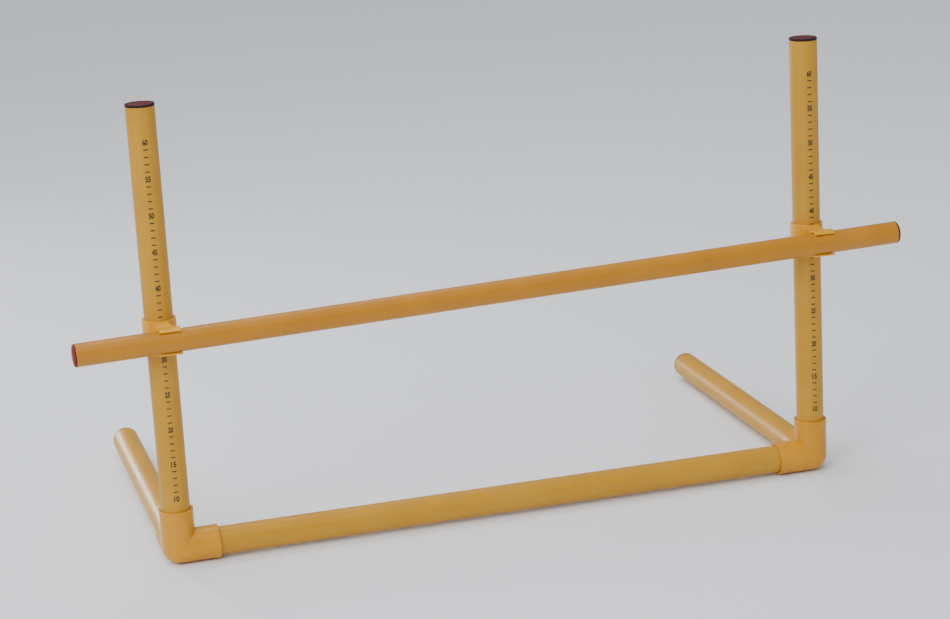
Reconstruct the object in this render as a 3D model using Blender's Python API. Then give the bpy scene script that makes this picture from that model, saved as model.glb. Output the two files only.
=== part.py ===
"""Adjustable-height training hurdle of push-fit plastic tube.

A U-shaped base (one cross tube, two legs that run back) carries two scaled
uprights in three-way corner elbows. A clip slides on each upright and holds
the crossbar in an open jaw in front of it. Metres, +Z up, origin on the
floor at the centre of the footprint, legs towards +Y.
"""

import math

import bmesh
import bpy
from mathutils import Matrix, Quaternion, Vector

# ---- driving dimensions ----------------------------------------------------
BASE_WIDTH = 1.000          # over the two corner elbows
TUBE_R = 0.020              # base, legs and uprights: 40 mm tube
TUBE_WALL = 0.0024
UPRIGHT_TOP = 0.6465        # cut end of the upright above the floor
LEG_REACH = 0.522           # cut end of the leg behind the upright's axis

BAR_R = 0.016               # crossbar: 32 mm tube
BAR_WALL = 0.0020
BAR_LENGTH = 1.193          # tube only, without its end plugs
BAR_FORWARD = 0.041         # bar axis in front of the upright's axis
LEFT_SETTING = 0.3305       # bar height in the left clip's jaw
RIGHT_SETTING = 0.3555      # bar height in the right clip's jaw

SOCKET_R = 0.024            # outside of an elbow's socket
SOCKET_REACH = 0.056        # corner centre to the socket's mouth
SOCKET_STOP = 0.028         # corner centre to the ledge that stops the tube
SOCKET_BACK = 0.012         # passages start this far behind the corner centre
PASSAGE_R = 0.0165          # inner passage behind the ledge
SOCKET_EDGE = 0.0008        # chamfer round a socket's mouth
SOCKET_START = 0.0004       # each socket starts this far behind the corner centre

FLANGE_THICK = 0.0032       # end plug: disc that covers the tube's end
FLANGE_EDGE = 0.0005
DISH_DEPTH = 0.0006         # shallow dish in the plug's outer face
DISH_MARGIN = 0.0030        # width of the raised rim round the dish
PLUG_DEPTH = 0.018
PLUG_WALL = 0.0020
RIB_COUNT = 2
RIB_HEIGHT = 0.0005

CLIP_WALL = 0.0032          # collar round the upright
CLIP_HALF_HEIGHT = 0.024
COLLAR_MOUTH = math.radians(52)     # half of the opening at the back
JAW_WALL = 0.0029
JAW_PLAY = 0.00055          # lets the bar slope a little in its two jaws
JAW_HALF_WIDTH = 0.0155
JAW_MOUTH = math.radians(56)        # half of the opening at the front
JAW_OFFSET = 0.008          # jaw's middle, to the right of the upright's axis
WEB_HALF_WIDTH = 0.009      # web between collar and jaw
WEB_JAW_ANGLE = math.radians(62)    # where the web's fillet meets the jaw
WEB_TOP_DEPTH = 0.0005      # web stands this far off the collar at its top

GAP = 0.0003                # clearance between separate pieces
ROUND_SEGMENTS = 32         # facets round a tube or a socket
PLUG_SEGMENTS = 24
BALL_RINGS = 16
ARC_STEPS = 20              # steps along a clip's open ring
FILLET_STEPS = 5
LIP_STEPS = 5
CUT_PAST = 0.002            # how far a cutter runs past the face it opens

# ---- places worked out from them -------------------------------------------
HALF_SPAN = BASE_WIDTH / 2 - SOCKET_R           # upright axis from the middle
AXIS_HEIGHT = SOCKET_R                          # base and legs above the floor
BORE_R = TUBE_R + GAP
TUBE_INNER_R = TUBE_R - TUBE_WALL
BAR_INNER_R = BAR_R - BAR_WALL
TUBE_START = SOCKET_STOP + GAP                  # tube end inside a socket
END_THICK = GAP + FLANGE_THICK                  # plug flange beyond a cut end
FRONT_REACH = BAR_FORWARD + BAR_R
BACK_REACH = LEG_REACH + END_THICK
UPRIGHT_Y = (FRONT_REACH - BACK_REACH) / 2      # puts the footprint's centre at 0
BAR_Y = UPRIGHT_Y - BAR_FORWARD
BAR_SLOPE = math.atan2(RIGHT_SETTING - LEFT_SETTING, 2 * HALF_SPAN)
COLLAR_INNER_R = TUBE_R + GAP
JAW_INNER_R = BAR_R + JAW_PLAY

SIDES = (("left", -1, LEFT_SETTING), ("right", 1, RIGHT_SETTING))
FACET = 2 * math.pi / ROUND_SEGMENTS            # angle of one facet of a round
UP = Vector((0, 0, 1))
BACK = Vector((0, 1, 0))
RIGHT = Vector((1, 0, 0))


# ---- helpers ---------------------------------------------------------------
def clear_scene():
    for obj in list(bpy.data.objects):
        bpy.data.objects.remove(obj, do_unlink=True)


def make_material(name, colour, roughness):
    material = bpy.data.materials.new(name)
    material.use_nodes = True
    shader = material.node_tree.nodes["Principled BSDF"]
    shader.inputs["Base Color"].default_value = (*colour, 1.0)
    shader.inputs["Roughness"].default_value = roughness
    shader.inputs["Metallic"].default_value = 0.0
    return material


def finish_object(name, bm, material):
    """Turn a closed bmesh into a named, smooth-shaded object."""
    bmesh.ops.recalc_face_normals(bm, faces=bm.faces)
    mesh = bpy.data.meshes.new(name)
    bm.to_mesh(mesh)
    bm.free()
    mesh.shade_smooth()
    mesh.set_sharp_from_angle(angle=math.radians(30))
    if material is not None:
        mesh.materials.append(material)
    obj = bpy.data.objects.new(name, mesh)
    bpy.context.scene.collection.objects.link(obj)
    return obj


def place(obj, position, axis=UP, roll=0.0):
    """Stand an object that was made along +Z on a point, along an axis."""
    obj.rotation_mode = "QUATERNION"
    obj.rotation_quaternion = UP.rotation_difference(axis) @ Quaternion(UP, roll)
    obj.location = position
    return obj


def turned(name, profile, material, closed=True, segments=ROUND_SEGMENTS):
    """Turn a list of (radius, height) points about Z.

    A closed profile makes a ring; an open one starts and ends on the axis.
    """
    bm = bmesh.new()
    rings = []
    for radius, height in profile:
        if radius == 0:
            rings.append([bm.verts.new((0, 0, height))])
            continue
        ring = []
        for step in range(segments):
            angle = 2 * math.pi * step / segments
            ring.append(bm.verts.new((radius * math.cos(angle), radius * math.sin(angle), height)))
        rings.append(ring)
    pairs = list(zip(rings, rings[1:]))
    if closed:
        pairs.append((rings[-1], rings[0]))
    for lower, upper in pairs:
        for step in range(segments):
            after = (step + 1) % segments
            if len(lower) == 1:
                bm.faces.new((lower[0], upper[after], upper[step]))
            elif len(upper) == 1:
                bm.faces.new((lower[step], lower[after], upper[0]))
            else:
                bm.faces.new((lower[step], lower[after], upper[after], upper[step]))
    return finish_object(name, bm, material)


def extruded(name, outline, half_depth, material):
    """Extrude a closed outline of (x, y) points by half_depth each way along Z."""
    bm = bmesh.new()
    lower = [bm.verts.new((x, y, -half_depth)) for x, y in outline]
    face = bm.faces.new(lower)
    upper = bmesh.ops.extrude_face_region(bm, geom=[face])["geom"]
    moved = [item for item in upper if isinstance(item, bmesh.types.BMVert)]
    bmesh.ops.translate(bm, verts=moved, vec=(0, 0, 2 * half_depth))
    return finish_object(name, bm, material)


def hide_helper(obj):
    obj.hide_render = True
    obj.display_type = "WIRE"


def combine(target, tool, operation):
    """Join or cut a body with a helper solid, which isn't a piece itself."""
    modifier = target.modifiers.new(f"{operation.lower()} {tool.name}", "BOOLEAN")
    modifier.operation = operation
    modifier.solver = "EXACT"
    modifier.object = tool
    hide_helper(tool)


def polar(centre, radius, angle):
    return (centre[0] + radius * math.cos(angle), centre[1] + radius * math.sin(angle))


def open_ring(inner_r, wall, mouth):
    """Outline of a C-shaped ring, open towards +X, with round lips."""
    centre_r = inner_r + wall / 2
    start = mouth
    sweep = 2 * (math.pi - mouth)
    outline = []
    for step in range(ARC_STEPS + 1):
        outline.append(polar((0, 0), inner_r + wall, start + sweep * step / ARC_STEPS))
    last_lip = polar((0, 0), centre_r, start + sweep)
    for step in range(1, LIP_STEPS):
        outline.append(polar(last_lip, wall / 2, start + sweep + math.pi * step / LIP_STEPS))
    for step in range(ARC_STEPS + 1):
        outline.append(polar((0, 0), inner_r, start + sweep - sweep * step / ARC_STEPS))
    first_lip = polar((0, 0), centre_r, start)
    for step in range(1, LIP_STEPS):
        outline.append(polar(first_lip, wall / 2, start + math.pi + math.pi * step / LIP_STEPS))
    return outline


# ---- pieces ----------------------------------------------------------------
def make_tube(name, start, axis, length, outer_r, inner_r, material):
    profile = [(inner_r, 0), (outer_r, 0), (outer_r, length), (inner_r, length)]
    return place(turned(name, profile, material), start, axis)


def make_plug(name, tube_end, axis, outer_r, tube_inner_r, material):
    """Ribbed cup pushed into a tube's end, with a flange over the cut edge."""
    rib_r = tube_inner_r - GAP
    root_r = rib_r - RIB_HEIGHT
    inner_r = root_r - PLUG_WALL
    dish_r = outer_r - DISH_MARGIN
    profile = [
        (0, FLANGE_THICK - DISH_DEPTH),
        (dish_r - DISH_DEPTH, FLANGE_THICK - DISH_DEPTH),
        (dish_r, FLANGE_THICK),
        (outer_r - FLANGE_EDGE, FLANGE_THICK),
        (outer_r, FLANGE_THICK - FLANGE_EDGE),
        (outer_r, 0),
        (root_r, 0),
    ]
    rib_pitch = PLUG_DEPTH / (RIB_COUNT + 1)
    for rib in range(1, RIB_COUNT + 1):
        middle = -rib * rib_pitch
        profile += [(root_r, middle + RIB_HEIGHT), (rib_r, middle), (root_r, middle - 2 * RIB_HEIGHT)]
    profile += [
        (root_r, -PLUG_DEPTH),
        (inner_r, -PLUG_DEPTH),
        (inner_r, 0),
        (0, 0),
    ]
    plug = turned(name, profile, material, closed=False, segments=PLUG_SEGMENTS)
    return place(plug, tube_end + GAP * axis, axis)


def socket_solid(name, corner, axis, roll=0.0, material=None):
    """Outside of one socket, from the corner's centre to its chamfered mouth."""
    profile = [
        (0, -SOCKET_START),
        (SOCKET_R, -SOCKET_START),
        (SOCKET_R, SOCKET_REACH - SOCKET_EDGE),
        (SOCKET_R - SOCKET_EDGE, SOCKET_REACH),
        (0, SOCKET_REACH),
    ]
    return place(turned(name, profile, material, closed=False), corner, axis, roll)


def socket_cutter(name, corner, axis, roll=0.0):
    """Tube bore down to its stop ledge, and the passage behind the ledge."""
    profile = [
        (0, -SOCKET_BACK),
        (PASSAGE_R, -SOCKET_BACK),
        (PASSAGE_R, SOCKET_STOP),
        (BORE_R, SOCKET_STOP),
        (BORE_R, SOCKET_REACH - SOCKET_EDGE),
        (BORE_R + SOCKET_EDGE, SOCKET_REACH),
        (BORE_R + SOCKET_EDGE, SOCKET_REACH + CUT_PAST),
        (0, SOCKET_REACH + CUT_PAST),
    ]
    return place(turned(name, profile, None, closed=False), corner, axis, roll)


def corner_ball(name, corner):
    """Round outer corner where the three sockets meet."""
    radius = SOCKET_R - GAP / 10
    profile = []
    for ring in range(BALL_RINGS + 1):
        angle = math.pi * ring / BALL_RINGS
        across = 0 if ring in (0, BALL_RINGS) else radius * math.sin(angle)
        profile.append((across, radius * math.cos(angle)))
    return place(turned(name, profile, None, closed=False), corner, UP, FACET / 7)


def make_elbow(side, sign, material):
    """Three-way corner: sockets up, inwards along the base, and back.

    Each socket is rolled by a different part of a facet, so that no edges
    of two of them coincide where they are joined.
    """
    corner = Vector((sign * HALF_SPAN, UPRIGHT_Y, AXIS_HEIGHT))
    sockets = (
        ("upright", UP, 0.0),
        ("base", -sign * RIGHT, FACET / 3),
        ("leg", BACK, FACET / 5),
    )
    elbow = socket_solid(f"{side}_corner_elbow", corner, UP, material=material)
    for role, axis, roll in sockets[1:]:
        combine(elbow, socket_solid(f"{side}_{role}_socket_solid", corner, axis, roll), "UNION")
    combine(elbow, corner_ball(f"{side}_corner_ball", corner), "UNION")
    for role, axis, roll in sockets:
        combine(elbow, socket_cutter(f"{side}_{role}_bore_cutter", corner, axis, roll), "DIFFERENCE")
    return elbow


def web_outline():
    """Side view of the web, as (forward of the upright's axis, height) points."""
    collar_side = COLLAR_INNER_R + CLIP_WALL / 4
    jaw_middle_r = JAW_INNER_R + JAW_WALL / 2
    top = Vector((COLLAR_INNER_R + CLIP_WALL + WEB_TOP_DEPTH, CLIP_HALF_HEIGHT))
    meeting = Vector((
        BAR_FORWARD - jaw_middle_r * math.cos(WEB_JAW_ANGLE),
        jaw_middle_r * math.sin(WEB_JAW_ANGLE),
    ))
    bend = Vector((top.x, meeting.y))
    fillet = []
    for step in range(FILLET_STEPS + 1):
        t = step / FILLET_STEPS
        fillet.append((1 - t) ** 2 * top + 2 * t * (1 - t) * bend + t * t * meeting)
    behind_jaw = []
    for step in range(1, ARC_STEPS):
        angle = WEB_JAW_ANGLE - 2 * WEB_JAW_ANGLE * step / ARC_STEPS
        behind_jaw.append((BAR_FORWARD - jaw_middle_r * math.cos(angle), jaw_middle_r * math.sin(angle)))
    outline = [(collar_side, CLIP_HALF_HEIGHT)]
    outline += [(point.x, point.y) for point in fillet]
    outline += behind_jaw
    outline += [(point.x, -point.y) for point in reversed(fillet)]
    outline.append((collar_side, -CLIP_HALF_HEIGHT))
    return outline


def orient(obj, origin, x_axis, y_axis):
    """Set an object's axes: its own +X and +Y along the two given directions."""
    z_axis = x_axis.cross(y_axis)
    turn = Matrix((x_axis, y_axis, z_axis)).transposed()
    obj.rotation_mode = "QUATERNION"
    obj.rotation_quaternion = turn.to_quaternion()
    obj.location = origin


def make_clip(side, sign, height, material):
    """Sliding clip: collar open at the back, jaw open at the front, one moulding.

    Its origin lies on the upright's axis, the line it slides along.
    """
    on_upright = Vector((sign * HALF_SPAN, UPRIGHT_Y, height))
    on_bar = Vector((sign * HALF_SPAN + JAW_OFFSET, BAR_Y, height))
    collar_outline = open_ring(COLLAR_INNER_R, CLIP_WALL, COLLAR_MOUTH)
    clip = extruded(f"{side}_clip", collar_outline, CLIP_HALF_HEIGHT, material)
    orient(clip, on_upright, BACK, -RIGHT)
    web = extruded(f"{side}_clip_web_solid", web_outline(), WEB_HALF_WIDTH, None)
    orient(web, on_upright, -BACK, UP)
    combine(clip, web, "UNION")
    jaw_outline = open_ring(JAW_INNER_R, JAW_WALL, JAW_MOUTH)
    jaw = extruded(f"{side}_clip_jaw_solid", jaw_outline, JAW_HALF_WIDTH, None)
    orient(jaw, on_bar, -BACK, UP)
    combine(clip, jaw, "UNION")
    return clip


def make_base(tube_material, elbow_material):
    base_start = Vector((-HALF_SPAN + TUBE_START, UPRIGHT_Y, AXIS_HEIGHT))
    base_length = 2 * (HALF_SPAN - TUBE_START)
    make_tube("base_tube", base_start, RIGHT, base_length, TUBE_R, TUBE_INNER_R, tube_material)
    for side, sign, _height in SIDES:
        make_elbow(side, sign, elbow_material)


def make_legs(tube_material, plug_material):
    for side, sign, _height in SIDES:
        corner = Vector((sign * HALF_SPAN, UPRIGHT_Y, AXIS_HEIGHT))
        length = LEG_REACH - TUBE_START
        start = corner + TUBE_START * BACK
        make_tube(f"{side}_leg_tube", start, BACK, length, TUBE_R, TUBE_INNER_R, tube_material)
        tube_end = corner + LEG_REACH * BACK
        make_plug(f"{side}_leg_plug", tube_end, BACK, TUBE_R, TUBE_INNER_R, plug_material)


def make_uprights(tube_material, plug_material):
    for side, sign, _height in SIDES:
        foot = Vector((sign * HALF_SPAN, UPRIGHT_Y, AXIS_HEIGHT + TUBE_START))
        length = UPRIGHT_TOP - foot.z
        make_tube(f"{side}_upright_tube", foot, UP, length, TUBE_R, TUBE_INNER_R, tube_material)
        tube_end = Vector((foot.x, foot.y, UPRIGHT_TOP))
        make_plug(f"{side}_upright_plug", tube_end, UP, TUBE_R, TUBE_INNER_R, plug_material)


def make_crossbar(bar_material, plug_material):
    """Crossbar and its plugs, parented to an empty on the left jaw's centre."""
    along = Vector((math.cos(BAR_SLOPE), 0, math.sin(BAR_SLOPE)))
    between_jaws = (LEFT_SETTING + RIGHT_SETTING) / 2
    middle = Vector((0, BAR_Y, between_jaws - JAW_OFFSET * math.tan(BAR_SLOPE)))
    left_end = middle - BAR_LENGTH / 2 * along
    right_end = middle + BAR_LENGTH / 2 * along
    tube = make_tube("crossbar_tube", left_end, along, BAR_LENGTH, BAR_R, BAR_INNER_R, bar_material)
    left_plug = make_plug("crossbar_left_plug", left_end, -along, BAR_R, BAR_INNER_R, plug_material)
    right_plug = make_plug("crossbar_right_plug", right_end, along, BAR_R, BAR_INNER_R, plug_material)
    pivot = bpy.data.objects.new("crossbar_pivot", None)
    pivot.location = (JAW_OFFSET - HALF_SPAN, BAR_Y, LEFT_SETTING)
    bpy.context.scene.collection.objects.link(pivot)
    bpy.context.view_layer.update()
    for piece in (tube, left_plug, right_plug):
        piece.parent = pivot
        piece.matrix_parent_inverse = pivot.matrix_world.inverted()


def main():
    clear_scene()
    tube_material = make_material("ochre_tube", (0.52, 0.30, 0.045), 0.42)
    bar_material = make_material("crossbar_tube", (0.48, 0.23, 0.030), 0.40)
    elbow_material = make_material("orange_fitting", (0.62, 0.31, 0.025), 0.38)
    clip_material = make_material("yellow_clip", (0.75, 0.42, 0.030), 0.36)
    plug_material = make_material("maroon_plug", (0.16, 0.020, 0.020), 0.45)
    make_base(tube_material, elbow_material)
    make_legs(tube_material, plug_material)
    make_uprights(tube_material, plug_material)
    for side, sign, height in SIDES:
        make_clip(side, sign, height, clip_material)
    make_crossbar(bar_material, plug_material)


main()
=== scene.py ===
import math
from collections import Counter

import bpy
from bpy.props import FloatProperty, FloatVectorProperty, IntProperty, PointerProperty
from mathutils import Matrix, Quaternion, Vector


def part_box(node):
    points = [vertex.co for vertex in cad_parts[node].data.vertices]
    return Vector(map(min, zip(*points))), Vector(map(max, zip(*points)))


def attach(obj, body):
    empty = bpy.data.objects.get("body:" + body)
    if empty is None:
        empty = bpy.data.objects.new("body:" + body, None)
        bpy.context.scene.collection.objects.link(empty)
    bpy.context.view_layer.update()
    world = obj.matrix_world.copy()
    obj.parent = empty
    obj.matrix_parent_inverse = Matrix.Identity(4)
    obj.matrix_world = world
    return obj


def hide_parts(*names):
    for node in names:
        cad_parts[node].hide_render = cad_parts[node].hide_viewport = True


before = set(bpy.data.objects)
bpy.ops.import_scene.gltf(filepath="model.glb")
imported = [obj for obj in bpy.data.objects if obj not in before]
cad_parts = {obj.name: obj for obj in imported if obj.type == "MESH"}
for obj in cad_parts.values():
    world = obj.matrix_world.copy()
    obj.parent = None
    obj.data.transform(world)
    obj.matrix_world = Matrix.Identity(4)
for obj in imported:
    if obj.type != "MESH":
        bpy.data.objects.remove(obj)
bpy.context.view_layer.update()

bl_info = {
    "name": "Training hurdle",
    "version": (1, 0, 0),
    "blender": (4, 5, 0),
    "location": "3D View > Sidebar > Hurdle",
    "description": "Models the detailed pieces of an adjustable training hurdle",
    "category": "Object",
}

RIGHT = Vector((1, 0, 0))
BACK = Vector((0, 1, 0))
UP = Vector((0, 0, 1))
SIDES = (("left", -1), ("right", 1))
POLE_R = 1e-6               # a ring this small is merged into a pole
MERGE = 1e-5
MM = 0.001


# ---- where the pieces are, read from the frame ------------------------------
def middle(node):
    low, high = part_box(node)
    return (Vector(low) + Vector(high)) / 2


def extent(node):
    low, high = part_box(node)
    return Vector(high) - Vector(low)


TUBE_R = extent("base_tube").z / 2
BAR_R = extent("crossbar_tube").y / 2
SOCKET_R = middle("base_tube").z                # an elbow rests on its sockets
CLIP_SPAN = middle("right_clip") - middle("left_clip")
BAR_SLOPE = math.atan2(CLIP_SPAN.z, CLIP_SPAN.x)
ALONG_BAR = Vector((math.cos(BAR_SLOPE), 0, math.sin(BAR_SLOPE)))
BAR_MIDDLE = middle("crossbar_tube")
BAR_HALF = (extent("crossbar_tube").x / 2 - BAR_R * math.sin(BAR_SLOPE)) / math.cos(BAR_SLOPE)
COLLAR_R = middle("left_upright_tube").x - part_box("left_clip")[0][0]
CLIP_HALF_HEIGHT = extent("left_clip").z / 2
PLUG_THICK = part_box("left_upright_plug")[1][2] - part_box("left_upright_tube")[1][2]


def corner(side):
    """Centre of an elbow: where the axes of its three sockets meet."""
    upright = middle(f"{side}_upright_tube")
    return Vector((upright.x, upright.y, SOCKET_R))


# ---- settings a user would change -------------------------------------------
def size_property(label, description, millimetres):
    return FloatProperty(name=label, description=description, default=millimetres * MM,
                         min=0.0, precision=4, unit="LENGTH")


def colour_property(label, description, colour):
    return FloatVectorProperty(name=label, description=description, default=colour,
                               size=3, min=0.0, max=1.0, subtype="COLOR")


class HurdleSizes(bpy.types.PropertyGroup):
    """Sizes of the details that the frame doesn't set."""

    facets: IntProperty(name="Facets", description="Facets round a tube", default=96, min=24,
                        subtype="UNSIGNED")
    tube_wall: size_property("Tube wall", "Wall of the 40 mm tubes", 2.4)
    bar_wall: size_property("Bar wall", "Wall of the crossbar tube", 2.0)
    cut_edge: size_property("Cut edge", "Rounding of a tube's deburred end", 0.35)
    fit_gap: size_property("Fit gap", "Gap between pieces that fit together", 0.3)
    socket_stop: size_property("Socket stop", "Ledge's distance from the elbow's centre", 28.0)
    socket_band: size_property("Socket band", "Width of the thicker band at a mouth", 7.5)
    band_rise: size_property("Band rise", "How far the band stands off the socket", 0.4)
    passage_radius: size_property("Passage radius", "Inner passage behind the ledge", 16.5)
    rib_height: size_property("Rib height", "Height of the ribs on a plug's cup", 0.5)
    plug_depth: size_property("Plug depth", "Depth of a plug's cup in its tube", 18.0)
    collar_wall: size_property("Collar wall", "Wall of the clip's collar", 3.2)
    jaw_wall: size_property("Jaw wall", "Wall of the clip's jaw", 2.9)
    jaw_play: size_property("Jaw play", "Radial play of the bar in its jaw", 0.55)
    jaw_width: size_property("Jaw width", "Width of the jaw along the bar", 30.0)
    jaw_offset: size_property("Jaw offset", "Jaw's middle, right of the upright's axis", 7.5)
    web_width: size_property("Web width", "Width of the web at the collar's rim", 18.0)
    figure_height: size_property("Figure height", "Height of the scale's figures", 8.4)
    figure_width: size_property("Figure width", "Width of a two-figure number", 7.4)
    mark_width: size_property("Mark width", "Width of a centimetre mark", 6.2)
    mark_height: size_property("Mark height", "Thickness of a centimetre mark", 1.7)
    ink: size_property("Ink", "Thickness of the printed ink", 0.08)


class HurdleColours(bpy.types.PropertyGroup):
    """Colours of the plastics and the stage."""

    tube: colour_property("Tube", "Ochre tube plastic", (0.53, 0.262, 0.008))
    bar: colour_property("Bar", "Crossbar tube plastic", (0.49, 0.196, 0.004))
    fitting: colour_property("Fitting", "Elbow plastic", (0.60, 0.262, 0.003))
    clip: colour_property("Clip", "Clip plastic", (0.74, 0.350, 0.006))
    # painted shade: the same red plastic as the crossbar plugs, darkened to maroon to stand for the
    # shade on the plugs' faces
    plug: colour_property("Plug", "End plug plastic", (0.085, 0.012, 0.010))
    bar_plug: colour_property("Bar plug", "Crossbar end plug plastic", (0.22, 0.016, 0.012))
    # painted shade: a near-black colour that stands for the shadow at a plug's flange edge and at
    # its joint with the tube
    plug_rim: colour_property("Plug rim", "Darker rim of a plug", (0.022, 0.008, 0.008))
    ink: colour_property("Ink", "Printed scale", (0.012, 0.010, 0.008))
    dust: colour_property("Dust", "Pale scuffs and dust", (0.60, 0.42, 0.16))
    floor: colour_property("Floor", "Studio floor", (0.86, 0.88, 0.92))


# ---- modelling helpers --------------------------------------------------------
def start_fresh():
    """Leave edit mode and select nothing, so that an operator acts on new work only."""
    if bpy.context.mode != "OBJECT":
        bpy.ops.object.mode_set(mode="OBJECT")
    bpy.ops.object.select_all(action="DESELECT")


def pick(piece):
    start_fresh()
    piece.select_set(True)
    bpy.context.view_layer.objects.active = piece


def edit(piece, select="SELECT"):
    pick(piece)
    bpy.ops.object.mode_set(mode="EDIT")
    bpy.ops.mesh.select_all(action=select)


def leave_edit():
    bpy.ops.object.mode_set(mode="OBJECT")


def clean(piece, merge=MERGE):
    """Merge doubled points and turn every face outwards."""
    edit(piece)
    bpy.ops.mesh.remove_doubles(threshold=merge)
    bpy.ops.mesh.normals_make_consistent(inside=False)
    leave_edit()


def smooth(piece, angle=35):
    """Shade a piece smooth, its large faces keeping their own normals."""
    pick(piece)
    bpy.ops.object.shade_smooth_by_angle(angle=math.radians(angle))
    modifier = piece.modifiers.new("even_shading", "WEIGHTED_NORMAL")
    modifier.weight = 100
    modifier.keep_sharp = True
    bpy.ops.object.modifier_apply(modifier=modifier.name)


def rounded(corners, steps=4):
    """Points of an outline whose corners, each (radius, height, rounding), are rounded."""
    points = []
    last = len(corners) - 1
    for number, (across, height, rounding) in enumerate(corners):
        here = Vector((across, height))
        if rounding == 0 or number in (0, last):
            points.append(tuple(here))
            continue
        before = Vector(corners[number - 1][:2]) - here
        after = Vector(corners[number + 1][:2]) - here
        start = here + before.normalized() * min(rounding, before.length * 0.48)
        end = here + after.normalized() * min(rounding, after.length * 0.48)
        for step in range(steps + 1):
            t = step / steps
            bend = (1 - t) ** 2 * start + 2 * t * (1 - t) * here + t * t * end
            points.append(tuple(bend))
    return points


def turned(name, outline, segments):
    """Draw a ring out, step by step, through (radius, height) points about Z.

    An outline that starts and ends on the axis gives a solid with poles, and
    one that comes back to its first point gives a closed ring.
    """
    outline = [(max(across, POLE_R), height) for across, height in outline]
    start_fresh()
    first_r, first_height = outline[0]
    bpy.ops.mesh.primitive_circle_add(vertices=segments, radius=first_r, fill_type="NOTHING")
    piece = bpy.context.object
    piece.name = name
    edit(piece)
    bpy.ops.transform.translate(value=(0, 0, first_height))
    for (old_r, old_height), (new_r, height) in zip(outline, outline[1:]):
        rise = {"value": (0, 0, height - old_height)}
        bpy.ops.mesh.extrude_region_move(TRANSFORM_OT_translate=rise)
        ratio = new_r / old_r
        bpy.ops.transform.resize(value=(ratio, ratio, 1), center_override=(0, 0, height))
    leave_edit()
    clean(piece)
    return piece


def set_down(piece, origin, axis=UP, roll=0.0):
    """Stand a piece made along Z on a point, and put its place into its mesh."""
    piece.rotation_mode = "QUATERNION"
    piece.rotation_quaternion = UP.rotation_difference(axis) @ Quaternion(UP, roll)
    piece.location = origin
    pick(piece)
    bpy.ops.object.transform_apply(location=True, rotation=True, scale=True)
    return piece


def combine(piece, tool, operation):
    """Join or cut a piece with another one, which is used up."""
    modifier = piece.modifiers.new(operation.lower(), "BOOLEAN")
    modifier.operation = operation
    modifier.solver = "EXACT"
    modifier.object = tool
    pick(piece)
    bpy.ops.object.modifier_apply(modifier=modifier.name)
    bpy.data.objects.remove(tool, do_unlink=True)


def round_edges(piece, width, segments=3, angle=40):
    modifier = piece.modifiers.new("edges", "BEVEL")
    modifier.width = width
    modifier.segments = segments
    modifier.limit_method = "ANGLE"
    modifier.angle_limit = math.radians(angle)
    pick(piece)
    bpy.ops.object.modifier_apply(modifier=modifier.name)


def check_closed(piece):
    """Stop if a piece is empty or has an edge that isn't shared by exactly two faces."""
    if not piece.data.polygons:
        raise RuntimeError(f"{piece.name} came out empty")
    uses = Counter(key for face in piece.data.polygons for key in face.edge_keys)
    loose = sum(1 for count in uses.values() if count != 2)
    if loose:
        raise RuntimeError(f"{piece.name} has {loose} open or doubled edges")


def finish_piece(piece, body, material, node=None):
    """Give a piece its material and body, and let it stand for its CAD node."""
    check_closed(piece)
    piece.data.name = piece.name
    piece.data.materials.clear()
    piece.data.materials.append(material)
    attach(piece, body)
    if node:
        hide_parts(node)


# ---- shared effects -----------------------------------------------------------
def new_group(name, inputs, outputs):
    group = bpy.data.node_groups.new(name, "ShaderNodeTree")
    for label, kind, default in inputs:
        socket = group.interface.new_socket(name=label, in_out="INPUT", socket_type=kind)
        if default is not None:
            socket.default_value = default
    for label, kind in outputs:
        group.interface.new_socket(name=label, in_out="OUTPUT", socket_type=kind)
    return group, group.nodes.new("NodeGroupInput"), group.nodes.new("NodeGroupOutput")


def stretched_noise(tree, vector, stretch, scale, detail):
    """Noise drawn out by a Mapping node, so that it makes lines instead of spots."""
    mapping = tree.nodes.new("ShaderNodeMapping")
    mapping.inputs["Scale"].default_value = stretch
    noise = tree.nodes.new("ShaderNodeTexNoise")
    noise.inputs["Scale"].default_value = scale
    noise.inputs["Detail"].default_value = detail
    tree.links.new(vector, mapping.inputs["Vector"])
    tree.links.new(mapping.outputs["Vector"], noise.inputs["Vector"])
    return noise.outputs["Fac"]


def ramp(tree, value, low, high):
    """Bring a value from low..high to 0..1 and clamp it."""
    node = tree.nodes.new("ShaderNodeMapRange")
    node.inputs["From Min"].default_value = low
    node.inputs["From Max"].default_value = high
    tree.links.new(value, node.inputs["Value"])
    return node.outputs["Result"]


def maths(tree, operation, first, second):
    node = tree.nodes.new("ShaderNodeMath")
    node.operation = operation
    for socket, value in zip(node.inputs, (first, second)):
        if isinstance(value, (int, float)):
            socket.default_value = value
        else:
            tree.links.new(value, socket)
    return node.outputs["Value"]


def handling_marks_group():
    """Fine scratches two ways and cloudy scuffs, as one mask."""
    inputs = (("Vector", "NodeSocketVector", None), ("Amount", "NodeSocketFloat", 0.5))
    group, entry, leave = new_group("handling_marks", inputs, (("Mask", "NodeSocketFloat"),))
    vector = entry.outputs["Vector"]
    across = ramp(group, stretched_noise(group, vector, (30, 900, 260), 1.0, 2.0), 0.66, 0.74)
    along = ramp(group, stretched_noise(group, vector, (420, 40, 700), 1.0, 2.0), 0.68, 0.76)
    clouds = ramp(group, stretched_noise(group, vector, (14, 14, 14), 1.0, 4.0), 0.48, 0.72)
    lines = maths(group, "MAXIMUM", across, along)
    worn = maths(group, "MULTIPLY", lines, clouds)
    haze = maths(group, "MULTIPLY", clouds, 0.22)
    mask = maths(group, "MULTIPLY", maths(group, "ADD", worn, haze), entry.outputs["Amount"])
    group.links.new(mask, leave.inputs["Mask"])
    return group


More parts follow.
